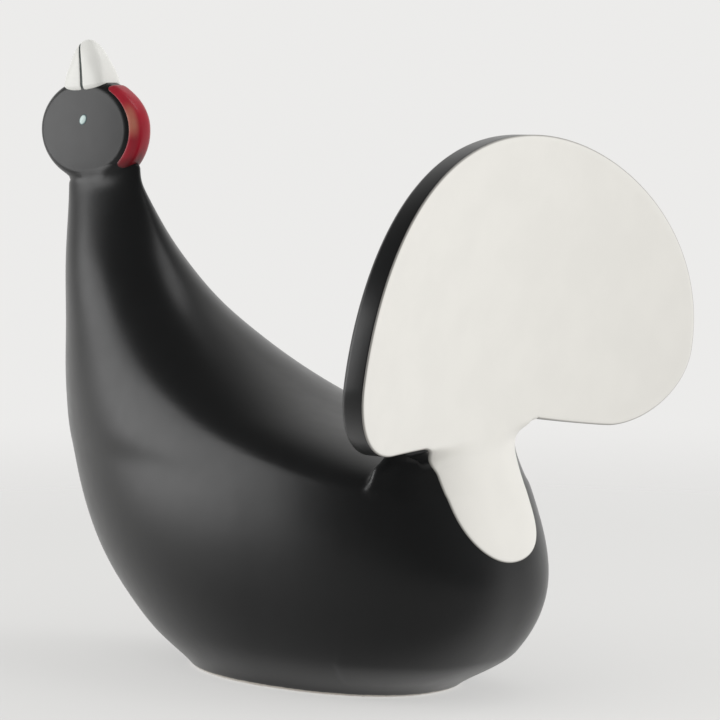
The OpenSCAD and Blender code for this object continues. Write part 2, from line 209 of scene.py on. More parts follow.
@dataclass
class Value:
    """A node's number output. Arithmetic on it adds Math nodes."""

    sheet: "NodeSheet"
    socket: bpy.types.NodeSocket

    def __add__(self, other: "Number") -> "Value":
        """Sum."""
        return self.sheet.math("ADD", self, other)

    __radd__ = __add__

    def __sub__(self, other: "Number") -> "Value":
        """Difference."""
        return self.sheet.math("SUBTRACT", self, other)

    def __rsub__(self, other: "Number") -> "Value":
        """Difference with the number first."""
        return self.sheet.math("SUBTRACT", other, self)

    def __mul__(self, other: "Number") -> "Value":
        """Product."""
        return self.sheet.math("MULTIPLY", self, other)

    __rmul__ = __mul__

    def __truediv__(self, other: "Number") -> "Value":
        """Quotient."""
        return self.sheet.math("DIVIDE", self, other)

    def __rtruediv__(self, other: "Number") -> "Value":
        """Quotient with the number first."""
        return self.sheet.math("DIVIDE", other, self)

    def rise(self, low: float, high: float) -> "Value":
        """Smooth step from 0 at low to 1 at high."""
        inputs = {"Value": self, "From Min": low, "From Max": high}
        return self.sheet.add("ShaderNodeMapRange", {"interpolation_type": "SMOOTHSTEP"}, inputs)

    def larger(self, other: "Number") -> "Value":
        """The larger of two numbers."""
        return self.sheet.math("MAXIMUM", self, other)


Number = Union[Value, float]


class NodeSheet:
    """Adds nodes to one node tree."""

    MIX_COLOUR_RESULT = 2
    MIX_COLOUR_A = 6
    MIX_COLOUR_B = 7

    def __init__(self, tree: bpy.types.NodeTree) -> None:
        """Starts on an empty tree.

        Args:
            tree: The material's or the world's node tree.
        """
        self.tree = tree
        tree.nodes.clear()

    def add(
        self,
        kind: str,
        settings: Mapping[str, Any],
        inputs: Mapping[Union[str, int], Any],
        output: Union[str, int] = 0,
    ) -> Value:
        """Adds a node.

        Args:
            kind: The node's type.
            settings: The node's own settings, set before its sockets.
            inputs: A number, a colour or a Value for each input, by name or index.
            output: The output that is returned, by name or index.

        Returns:
            The chosen output, or an input-less node's first output.
        """
        node = self.tree.nodes.new(kind)
        for name, setting in settings.items():
            setattr(node, name, setting)
        for name, value in inputs.items():
            if isinstance(value, Value):
                self.tree.links.new(value.socket, node.inputs[name])
            else:
                node.inputs[name].default_value = value
        return Value(self, node.outputs[output] if node.outputs else node.inputs[0])

    def math(self, operation: str, a: Number, b: Number) -> Value:
        """Adds a Math node on two numbers."""
        return self.add("ShaderNodeMath", {"operation": operation}, {0: a, 1: b})

    def mix(self, share: Number, a: Union[Value, Colour], b: Union[Value, Colour]) -> Value:
        """Mixes two colours.

        Args:
            share: 0 gives a and 1 gives b.
            a: First colour.
            b: Second colour.

        Returns:
            The mixed colour.
        """
        colours = [c if isinstance(c, Value) else (*c, 1.0) for c in (a, b)]
        inputs = {0: share, self.MIX_COLOUR_A: colours[0], self.MIX_COLOUR_B: colours[1]}
        return self.add("ShaderNodeMix", {"data_type": "RGBA"}, inputs, self.MIX_COLOUR_RESULT)

    def place(self, axis: str = "") -> Value:
        """Object coordinates in metres, or one of them by its letter."""
        at = self.add("ShaderNodeTexCoord", {}, {}, "Object")
        return self.add("ShaderNodeSeparateXYZ", {}, {0: at}, axis) if axis else at

    def mark(self, name: str) -> Value:
        """A number that the mesh carries at its points."""
        return self.add("ShaderNodeAttribute", {"attribute_name": name}, {}, "Fac")

    def noise(self, size: float, detail: float = 2.0) -> Value:
        """Noise around 0.5 whose lumps are about size millimetres wide."""
        inputs = {"Vector": self.place(), "Scale": 1 / (size * MM), "Detail": detail}
        return self.add("ShaderNodeTexNoise", {}, inputs)

    def bump(self, height: Value, depth: float) -> Value:
        """Normal of a surface whose height of 1 stands depth millimetres proud."""
        return self.add("ShaderNodeBump", {}, {"Height": height, "Strength": 1.0, "Distance": depth * MM})


@dataclass(frozen=True)
class Glaze:
    """A fired glaze: its gloss, and the fine waves that a fired surface has."""

    name: str
    colour: Colour
    roughness: float
    mottle: float = 0.04
    cloud_size: float = 14.0
    cloud_span: Span = (0.3, 0.7)
    uneven: float = 0.08
    uneven_size: float = 5.0
    grain_size: float = 0.9
    grain_depth: float = 0.004
    wave_size: float = 7.0
    wave_depth: float = 0.02

    def tint(self, sheet: NodeSheet) -> Value:
        """Colour over the surface: the glaze's colour, a little lighter and darker in soft clouds.

        Args:
            sheet: The material's nodes.

        Returns:
            The colour.
        """
        levels = (1 - self.mottle, 1 + self.mottle)
        dark, light = (tuple(min(1.0, c * k) for c in self.colour) for k in levels)
        return sheet.mix(sheet.noise(self.cloud_size, 3.0).rise(*self.cloud_span), dark, light)

    def gloss(self, sheet: NodeSheet) -> Value:
        """Roughness over the surface: the glaze's own, a little uneven."""
        return self.roughness + self.uneven * (sheet.noise(self.uneven_size, 4.0) - 0.5)

    def relief(self, sheet: NodeSheet) -> Value:
        """Normal over the surface: fine grain on long, shallow waves."""
        waves = sheet.noise(self.wave_size, 1.0) * (self.wave_depth / self.grain_depth)
        return sheet.bump(sheet.noise(self.grain_size) + waves, self.grain_depth)

    def material(self) -> bpy.types.Material:
        """Makes the Blender material.

        Returns:
            A material with one glossy shader, fed by tint, gloss and relief.
        """
        made = bpy.data.materials.new(self.name)
        made.use_nodes = True
        sheet = NodeSheet(made.node_tree)
        inputs = {
            "Base Color": self.tint(sheet),
            "Roughness": self.gloss(sheet),
            "Normal": self.relief(sheet),
        }
        shader = sheet.add("ShaderNodeBsdfPrincipled", {}, inputs)
        sheet.add("ShaderNodeOutputMaterial", {}, {"Surface": shader})
        return made


@dataclass(frozen=True)
class BlackGlaze(Glaze):
    """Satin black glaze, wiped off the foot so that pale clay shows there."""

    clay: Colour = (0.62, 0.57, 0.50)
    bare: Span = (0.7, 1.1)
    wander: float = 0.5
    wander_size: float = 3.0

    def tint(self, sheet: NodeSheet) -> Value:
        """Black glaze, with bare clay below the foot's edge, whose line wanders a little."""
        height = sheet.place("Z") / MM + self.wander * (sheet.noise(self.wander_size) - 0.5)
        return sheet.mix(height.rise(*self.bare), self.clay, super().tint(sheet))


@dataclass(frozen=True)
class WhiteGlaze(Glaze):
    """Warm white glaze, thin enough at its edge for the black under it to show."""

    thin: Colour = (0.30, 0.29, 0.27)
    thin_to: float = 0.5

    def tint(self, sheet: NodeSheet) -> Value:
        """White, greyer where the mark named edge falls to 0 at the coat's rim."""
        return sheet.mix(sheet.mark("edge").rise(0.0, self.thin_to), self.thin, super().tint(sheet))


@dataclass(frozen=True)
class CombEnamel(Glaze):
    """Red enamel: a painted orange highlight near the roll's edges, crimson over the roll, brown where it
    ends.
    """

    # Colour and placing of the painted orange highlight on the comb's flanks
    painted_highlight: Colour = (0.55, 0.20, 0.13)
    brown: Colour = (0.05, 0.012, 0.012)
    highlight_across: Span = (0.5, 0.9)
    highlight_from: Span = (0.34, 0.5)
    highlight_to: Span = (0.6, 0.78)
    highlight_least: float = 0.55
    highlight_patchy: float = 0.6
    patch_size: float = 3.0
    brown_to: Span = (0.04, 0.3)
    brown_across: float = 0.14
    wander: float = 0.1
    wander_size: float = 2.5

    def tint(self, sheet: NodeSheet) -> Value:
        """Red mixed by the marks named across, -1 to 1 from the bird's left, and along, 0 to 1 upwards.

        Args:
            sheet: The material's nodes.

        Returns:
            The colour.
        """
        near = sheet.math("ABSOLUTE", sheet.mark("across"), 0.0)
        along = sheet.mark("along")
        # Painted highlight: orange near the roll's edges, over the middle of its length, in patches
        highlight_along = along.rise(*self.highlight_from) * (1 - along.rise(*self.highlight_to))
        patchy = self.highlight_least + self.highlight_patchy * sheet.noise(self.patch_size)
        red = sheet.mix(near.rise(*self.highlight_across) * highlight_along * patchy, super().tint(sheet), self.painted_highlight)
        wander = self.wander * (sheet.noise(self.wander_size) - 0.5)
        faded = along + self.brown_across * (near - 0.5) + wander
        return sheet.mix(faded.rise(*self.brown_to), self.brown, red)


@dataclass(frozen=True)
class BeakGlaze(Glaze):
    """White glaze with a dark line drawn along the mouth."""

    line: Colour = (0.06, 0.075, 0.07)
    line_span: Span = (0.35, 0.65)
    wander: float = 0.2
    wander_size: float = 1.2

    def tint(self, sheet: NodeSheet) -> Value:
        """White, and the line's colour where the mark named mouth is over a half."""
        drawn = sheet.mark("mouth") + self.wander * (sheet.noise(self.wander_size) - 0.5)
        return sheet.mix(drawn.rise(*self.line_span), super().tint(sheet), self.line)


@dataclass(frozen=True)
class EyeEnamel(Glaze):
    """Pale blue-white enamel, darker and greener where it thins at the dot's edge."""

    rim: Colour = (0.05, 0.12, 0.13)
    rim_span: Span = (0.02, 0.3)

    def tint(self, sheet: NodeSheet) -> Value:
        """Pale in the middle, and the rim's colour where the mark named edge falls to 0."""
        return sheet.mix(sheet.mark("edge").rise(*self.rim_span), self.rim, super().tint(sheet))


BLACK = BlackGlaze("black_glaze", (0.0105, 0.0110, 0.0115), 0.32)
WHITE = WhiteGlaze("white_glaze", (0.86, 0.845, 0.80), 0.42, mottle=0.012)
RED = CombEnamel("red_enamel", (0.40, 0.012, 0.028), 0.34, mottle=0.18)
BEAK = BeakGlaze("beak_glaze", (0.95, 0.95, 0.91), 0.36, mottle=0.02)
EYE = EyeEnamel("eye_enamel", (0.70, 0.86, 0.84), 0.3, mottle=0.02)


def shown(name: str, surface: Surface, finish: Glaze) -> None:
    """Makes a piece of the bird and lets it stand for the CAD node of the same name.

    Args:
        name: Name of the CAD node that the piece replaces.
        surface: The piece's closed mesh, in millimetres.
        finish: What it is glazed with.
    """
    mesh = bpy.data.meshes.new(name)
    mesh.from_pydata((surface.points * MM).tolist(), [], surface.faces)
    mesh.polygons.foreach_set("use_smooth", np.ones(len(mesh.polygons), bool))
    for mark, values in surface.marks.items():
        mesh.attributes.new(mark, "FLOAT", "POINT").data.foreach_set("value", values.astype(np.float32))
    mesh.materials.append(finish.material())
    mesh.update()
    piece = bpy.data.objects.new(f"{name}_glazed", mesh)
    bpy.context.scene.collection.objects.link(piece)
    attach(piece, "root")
    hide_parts(name)
    LOG.info("%s: %d points, %d faces", piece.name, len(mesh.vertices), len(mesh.polygons))


# Sub-assemblies


@dataclass
class Head:
    """Flat oval head, with its comb, beak and eyes, all about the head's centre."""

    centre: Span = (-96.0, 165.2)
    half_length: float = 21.1
    half_height: float = 16.4
    half_thick: float = 5.6
    rounding: float = 3.4
    crown: float = 0.7
    comb_half_w: float = 4.2
    comb_h: float = 2.0
    comb_span: Span = (-50.0, 60.0)
    comb_ends: Span = (0.10, 0.05)
    comb_pinch: float = 0.2
    comb_fall: float = 0.75
    comb_fall_over: Span = (0.5, 0.95)
    comb_round: float = 0.45
    comb_proud: float = 0.05
    comb_sunk: float = 0.6
    beak_axis_x: float = 1.0
    beak_tilt: float = 7.0
    beak_span: Span = (13.9, 29.1)
    beak_deep: float = 18.4
    beak_wide: float = 10.8
    beak_bluntness: float = 1.4
    beak_flat: float = 0.9
    beak_square: Span = (4.5, 2.7)
    beak_square_to: float = 0.6
    beak_sunk: Span = (-0.09, -0.05)
    beak_draw: float = 1.2
    beak_slant: float = 0.15
    beak_slant_to: float = 0.7
    beak_foot_round: float = 2.5
    mouth_at: float = 0.4
    mouth_bow: float = 3.0
    mouth_bend: float = 2.4
    mouth_w: Span = (0.682, 0.403)
    mouth_deep: float = 0.3
    mouth_end: Span = (0.985, 0.93)
    eye_size: Span = (1.9, 1.4)
    eye_tilt: float = 48.0
    eye_h: float = 0.45
    eye_sunk: Span = (0.4, 0.08)
    eye_place: Span = (0.6, 3.3)

    @property
    def rim_flat(self) -> float:
        """Half width of the flat band in the middle of the rim."""
        return self.half_thick - self.crown - self.rounding

    def put(self, local: Array) -> Array:
        """Moves points from the head's own centre to its place on the neck."""
        return local + np.array([self.centre[0], 0.0, self.centre[1]])

    def face(self, share: Array) -> Array:
        """Half thickness at a share of the face's radius: full in the middle, less by the crown at 1."""
        return self.half_thick - self.crown * share ** 2

    def distance(self, x: Array, y: Array, z: Array) -> Array:
        """Distance from the head's surface, for the seat that is cut in the neck.

        The oval's distance in the head's plane, (r - 1) over the slope of r, and the distance from
        the face are joined as in a box with rounded edges.

        Args:
            x: Places along the bird.
            y: Places across.
            z: Heights.

        Returns:
            The distance, below 0 inside the head.
        """
        u, w = x - self.centre[0], z - self.centre[1]
        r = np.sqrt((u / self.half_length) ** 2 + (w / self.half_height) ** 2) + 1e-9
        slope = np.hypot(u / self.half_length ** 2, w / self.half_height ** 2) / r + 1e-9
        out = (r - 1) / slope + self.rounding
        share = (u / (self.half_length - self.rounding)) ** 2 + (w / (self.half_height - self.rounding)) ** 2
        across = np.abs(y) - self.rim_flat - self.crown * np.clip(1 - share, 0, 1)
        return np.hypot(np.maximum(out, 0), np.maximum(across, 0)) + np.minimum(
            np.maximum(out, across), 0
        ) - self.rounding

    def oval(self, angle: Array, inset: Array) -> tuple[Array, Array]:
        """Place on the oval drawn in by an inset, as (along, up) from the head's centre."""
        return (self.half_length - inset) * np.cos(angle), (self.half_height - inset) * np.sin(angle)

    def disc(self) -> Surface:
        """Head: rings across its thickness, each an oval, faces crowned and edges rounded.

        Returns:
            The closed disc.
        """
        turn = np.linspace(0, 2 * np.pi, 160, endpoint=False)
        shares = np.linspace(0.03, 1, 24)
        bend = np.radians(np.linspace(90, 0, 14))[1:]
        inset = np.r_[np.full(len(shares), self.rounding), self.rounding * (1 - np.cos(bend))]
        scale = np.r_[shares, np.ones(len(bend))]
        deep = np.r_[self.face(shares), self.rim_flat + self.rounding * np.sin(bend)]
        inset, scale = np.r_[inset, inset[::-1]], np.r_[scale, scale[::-1]]
        deep = np.r_[-deep, deep[::-1]]
        u, w = self.oval(turn[None, :], inset[:, None])
        y = np.broadcast_to(deep[:, None], u.shape)
        return Surface.from_rings(self.put(np.stack([u * scale[:, None], y, w * scale[:, None]], -1)))

    def comb(self) -> Surface:
        """Comb: a half-round roll carried along the rim, narrower at its ends and thinner upwards.

        Its height is comb_h times 1 - across squared to the comb_round. It rises from each end as a
        quarter oval, and loses the share comb_fall over the upper half.

        Returns:
            The closed roll, with marks along and across.
        """
        t = np.linspace(0, 1, 90)[:, None]
        near_end = np.minimum(t / self.comb_ends[0], (1 - t) / self.comb_ends[1])
        full = np.sqrt(np.clip(1 - (1 - np.minimum(near_end, 1)) ** 2, 0.003, 1))
        v = np.sin(np.linspace(-np.pi / 2, np.pi / 2, 41))[None, :]
        y = self.comb_half_w * (1 - self.comb_pinch * (1 - full)) * v
        over = np.maximum(np.abs(y) - self.rim_flat, 0)
        inset = self.rounding - np.sqrt(np.maximum(self.rounding ** 2 - over ** 2, 0))
        full = full * (1 - self.comb_fall * smoothstep(*self.comb_fall_over, t))
        rise = self.comb_h * full * np.clip(1 - v ** 2, 0, 1) ** self.comb_round
        angle = np.radians(between(self.comb_span, t)) + 0 * y
        outer = self.oval(angle, inset - rise - self.comb_proud)
        inner = self.oval(angle, inset + self.comb_sunk)
        ring = [np.concatenate([o, i[:, ::-1]], axis=1) for o, i in zip(outer, inner)]
        across = np.concatenate([y, y[:, ::-1]], axis=1)
        points = self.put(np.stack([ring[0], across, ring[1]], -1))
        wide = np.concatenate([v + 0 * t, (v + 0 * t)[:, ::-1]], axis=1)
        marks = {"along": (t + 0 * wide)[::-1], "across": wide[::-1]}
        return Surface.from_rings(points[::-1], marks)

    def beak(self) -> Surface:
        """Beak: rounded-square sections that taper to a blunt tip, with a groove along each side.

        At a share s of its height a section is the base's size times the root of 1 - s to the
        beak_bluntness. The groove draws a side in by mouth_deep times exp of minus (distance / its
        width) squared. It runs from mouth_at towards the front by mouth_bow times s to the mouth_bend.

        Returns:
            The closed beak, with the mark mouth.
        """
        turn = np.linspace(0, 2 * np.pi, 240, endpoint=False)[None, :]
        s = np.r_[self.beak_sunk, 0, np.sin(np.linspace(0.01, np.pi / 2, 70)) ** 1.5][:, None]
        held = np.clip(s, 0, 1)
        taper = np.sqrt(np.clip(1 - held ** self.beak_bluntness, 0.0004, 1))
        taper = taper * (1 + self.beak_draw * np.minimum(s, 0))
        deep, wide = self.beak_deep / 2 * taper, self.beak_wide / 2 * taper ** self.beak_flat
        n = between(self.beak_square, smoothstep(0, self.beak_square_to, s))
        c, d = np.cos(turn), np.sin(turn)
        r = ((np.abs(c) / deep) ** n + (np.abs(d) / wide) ** n) ** (-1 / n)
        u, y = r * c, r * d
        off = u - self.mouth_at + self.mouth_bow * held ** self.mouth_bend
        mouth = np.exp(-(off / between(self.mouth_w, s)) ** 2) * smoothstep(*self.mouth_end, s)
        y = y * (1 - self.mouth_deep * mouth / np.maximum(np.abs(y), 2.0))
        lean = math.radians(self.beak_tilt)
        up = between(self.beak_span, s) + 0 * u
        x = self.beak_axis_x + u * math.cos(lean) - up * math.sin(lean)
        foot = self.beak_slant / 2 * (u + np.hypot(u, self.beak_foot_round))
        slant = between((foot, u * math.sin(lean)), smoothstep(0, self.beak_slant_to, s))
        points = self.put(np.stack([x, y, up * math.cos(lean) + slant], -1))
        return Surface.from_rings(points[:, ::-1], {"mouth": mouth[:, ::-1]})

    def eye(self, side: Side) -> Surface:
        """Eye: a low oval dome on the face, its height the root of 1 - radius squared.

        Args:
            side: The bird's side that it is on.

        Returns:
            The closed dome, with the mark edge, 1 in its middle and 0 at its rim.
        """
        turn = np.linspace(0, 2 * np.pi, 48, endpoint=False)[None, :]
        r = np.sin(np.linspace(0.04, np.pi / 2, 16))[::-1, None]
        tilt = math.radians(self.eye_tilt)
        long, short = self.eye_size[0] * r * np.cos(turn), self.eye_size[1] * r * np.sin(turn)
        u = self.eye_place[0] + long * math.cos(tilt) - short * math.sin(tilt)
        w = self.eye_place[1] + long * math.sin(tilt) + short * math.cos(tilt)
        bed = self.face(np.hypot(u, w) / (self.half_height - self.rounding))
        root, sunk = self.eye_sunk
        out = side.value * (bed - sunk + self.eye_h * np.sqrt(np.clip(1 - r ** 2, 0, 1)))
        low = side.value * (bed[:1] - root)
        rings = np.stack([np.vstack([u[:1], u]), np.vstack([low, out]), np.vstack([w[:1], w])], -1)
        edge = np.vstack([0 * u[:1], 1 - r + 0 * u])
        step = side.value
        return Surface.from_rings(self.put(rings)[:, ::step], {"edge": edge[:, ::step]})

    def build(self) -> None:
        """Makes the head and the pieces on it."""
        shown("head", self.disc(), BLACK)
        shown("comb", self.comb(), RED)
        shown("beak", self.beak(), BEAK)
        shown("eyes", self.eye(Side.LEFT).joined(self.eye(Side.RIGHT)), EYE)


@dataclass
class Tail:
    """Upright tail fan and the white glaze on its rear face.

    The pairs named lift, tongue and bay are for the left and the right side.
    """

    half_w: float = 78.0
    wide_z: float = 99.0
    rise: float = 66.0
    lobe_drop: float = 22.0
    lobe_half_w: float = 26.0
    rear_x: float = 68.5
    lean: float = 9.3
    sweep_back: float = 14.0
    thick: float = 7.6
    front_round: float = 1.6
    rear_round: float = 0.7
    seat_z: float = 77.0
    lift: Span = (0.0, 4.3)
    lift_bend: float = 1.2
    stem_z: float = 72.5
    tongue_half_w: Span = (19.4, 16.2)
    tongue_z: float = 41.6
    tongue_bend: float = 3.0
    bay: Span = (33.0, 20.6)
    bay_z: Span = (67.5, 58.0)
    bay_bend: Span = (1.8, 4.0)
    coat: float = 0.5
    coat_edge: float = 1.3
    coat_sunk: Span = (0.25, 0.06)
    hub: Span = (0.0, 109.0)

    def sweep(self, y: Array) -> Array:
        """Backward sweep of the fan's sides, as the square of the place across."""
        return self.sweep_back * (y / self.half_w) ** 2

    def rear(self, y: Array, z: Array) -> Array:
        """Rear face of the fan: a plane that leans back, bent by the sweep."""
        return self.rear_x + math.tan(math.radians(self.lean)) * (z - self.wide_z) + self.sweep(y)

    def lower_edge(self, y: Array) -> Array:
        """Height of the fan's lower edge, which rises from each lobe in to the stem by its lift.

        Args:
            y: Places across.

        Returns:
            The seat's height, plus the lift times the share of the way in to the lift_bend.
        """
        low, inner = self.half_w - self.lobe_half_w, min(self.bay)
        t = np.clip((low - np.abs(y)) / (low - inner), 0, 1)
        lift = between(self.lift, smoothstep(-inner, inner, y))
        return self.seat_z + lift * t ** self.lift_bend

    def upper_half(self) -> Array:
        """Right half of the outline from its top to the lobe's lowest point: two quarter ovals.

        Returns:
            Points as (across, up).
        """
        a = np.linspace(0, np.pi / 2, 160)
        b = np.linspace(0, np.pi / 2, 80)[1:]
        over = np.stack([self.half_w * np.sin(a), self.wide_z + self.rise * np.cos(a)], 1)
        under = np.stack([
            self.half_w - self.lobe_half_w * (1 - np.cos(b)), self.wide_z - self.lobe_drop * np.sin(b)
        ], 1)
        return np.vstack([over, under])

    def fan_outline(self) -> Array:
        """Outline of the fan: the two upper halves, joined by the lower edge.

        Returns:
            Points as (across, up).
        """
        half = self.upper_half()
        low = half[-1, 0]
        y = np.linspace(low, -low, 200)[1:-1]
        lower = np.stack([y, self.lower_edge(y)], 1)
        return np.vstack([half, lower, half[:0:-1] * [-1, 1]])

    def coat_half(self, side: Side) -> Array:
        """One half of the white's outline: lobe, rounded bay at the stem, and the tongue on the rump.

        In the bay the width falls with the sine of an angle to the bay_bend, while the height falls
        with its cosine. The tongue's half width is its full one times the root of 1 - s to the
        tongue_bend, at a share s of its length.

        Args:
            side: The bird's side.

        Returns:
            Points as (across, up), from the fan's top to the tongue's tip.
        """
        half = self.upper_half()
        pairs = (self.bay, self.bay_z, self.tongue_half_w, self.bay_bend)
        wide, low, narrow, bend = (pair[side is Side.RIGHT] for pair in pairs)
        y = np.linspace(half[-1, 0], wide, 40)[1:]
        edge = np.stack([y, self.lower_edge(side.value * y)], 1)
        top = edge[-1, 1]
        a = np.linspace(0, np.pi / 2, 30)[1:-1]
        bay = np.stack([wide - (wide - narrow) * np.sin(a) ** bend, low + (top - low) * np.cos(a)], 1)
        s = 1 - np.linspace(1, 0, 60) ** 1.6
        across = narrow * np.sqrt(np.clip(1 - s ** self.tongue_bend, 0, 1))
        tongue = np.stack([across, between((low, self.tongue_z), s)], 1)
        return np.vstack([half, edge, bay, tongue]) * [side.value, 1]

    def coat_outline(self) -> Array:
        """Outline of the white, down its right half and up its left half."""
        return np.vstack([self.coat_half(Side.RIGHT), self.coat_half(Side.LEFT)[-2:0:-1]])

    @staticmethod
    def drawn_in(outline: Array, inset: float) -> Array:
        """Moves an outline inwards along its own normal.

        Args:
            outline: Points as (across, up), clockwise.
            inset: Distance by which each point moves.

        Returns:
            The moved points.
        """
        along = np.roll(outline, -1, 0) - np.roll(outline, 1, 0)
        along /= np.linalg.norm(along, axis=1, keepdims=True)
        return outline + inset * np.stack([along[:, 1], -along[:, 0]], 1)

    def rings(self, outline: Array, insets: Sequence[float], shares: Sequence[float]) -> Array:
        """Rings across a face, from its edge inwards.

        Args:
            outline: The face's outline, as (across, up).
            insets: Distances of the first rings from the outline.
            shares: Shares of the last such ring, drawn in towards the hub, for the other rings.

        Returns:
            Array of rings by points by 2.
        """
        edge = [self.drawn_in(outline, inset) for inset in insets]
        hub = np.array(self.hub)
        return np.stack(edge + [hub + (edge[-1] - hub) * share for share in shares])

    def fan(self) -> Surface:
        """Fan: its front face, the two rounded edges and its rear face as one stack of rings.

        Returns:
            The closed plate.
        """
        outline = spaced(self.fan_outline(), 520)
        shares = np.linspace(1, 0.02, 40)[1:]
        bend = np.radians(np.linspace(0, 90, 9))
        sides = []
        for rounding, sign, face in ((self.front_round, 1, -self.thick), (self.rear_round, -1, 0.0)):
            flat = self.rings(outline, rounding * (1 - np.cos(bend)), shares)
            deep = np.r_[rounding * (1 - np.sin(bend)), np.zeros(len(shares))]
            x = self.rear(flat[..., 0], flat[..., 1]) + face + sign * deep[:, None]
            sides.append(np.concatenate([x[..., None], flat], -1))
        return Surface.from_rings(np.concatenate([sides[0][::-1], sides[1]]))

    def build(self, body: "Body") -> None:
        """Makes the fan and its white glaze.

        Args:
            body: The body, on whose rump the white's tongue lies.
        """
        shown("tail_fan", self.fan(), BLACK)
        shown("tail_glaze", self.white(body), WHITE)

    def white(self, body: "Body") -> Surface:
        """White glaze: a coat on the fan's rear face and the rump, thinned to nothing at its rim.

        Its depth is coat times the root of 1 - (1 - d / coat_edge) squared at a distance d from its
        rim.

        Args:
            body: The body, on whose rump the tongue lies.

        Returns:
            The closed coat, with the mark edge, 0 at its rim and 1 inside.
        """
        outline = spaced(self.coat_outline(), 640)
        insets = self.coat_edge * np.linspace(0, 1, 9) ** 1.5
        shares = np.linspace(1, 0.02, 60)[1:]
        flat = self.rings(outline, insets, shares)
        y, z = flat[..., 0], flat[..., 1]
        d = np.r_[insets, np.full(len(shares), self.coat_edge)][:, None]
        bed = body.rear_surface(y, z)
        depth = self.coat * np.sqrt(1 - (1 - d / self.coat_edge) ** 2)
        root, sunk = self.coat_sunk
        over = np.concatenate([(bed + depth - sunk)[..., None], flat], -1)
        under = np.concatenate([(bed - root)[..., None], flat], -1)
        edge = np.broadcast_to(d / self.coat_edge, y.shape)
        return Surface.from_rings(np.concatenate([under[::-1], over]), {
            "edge": np.concatenate([edge[::-1], edge])
        })


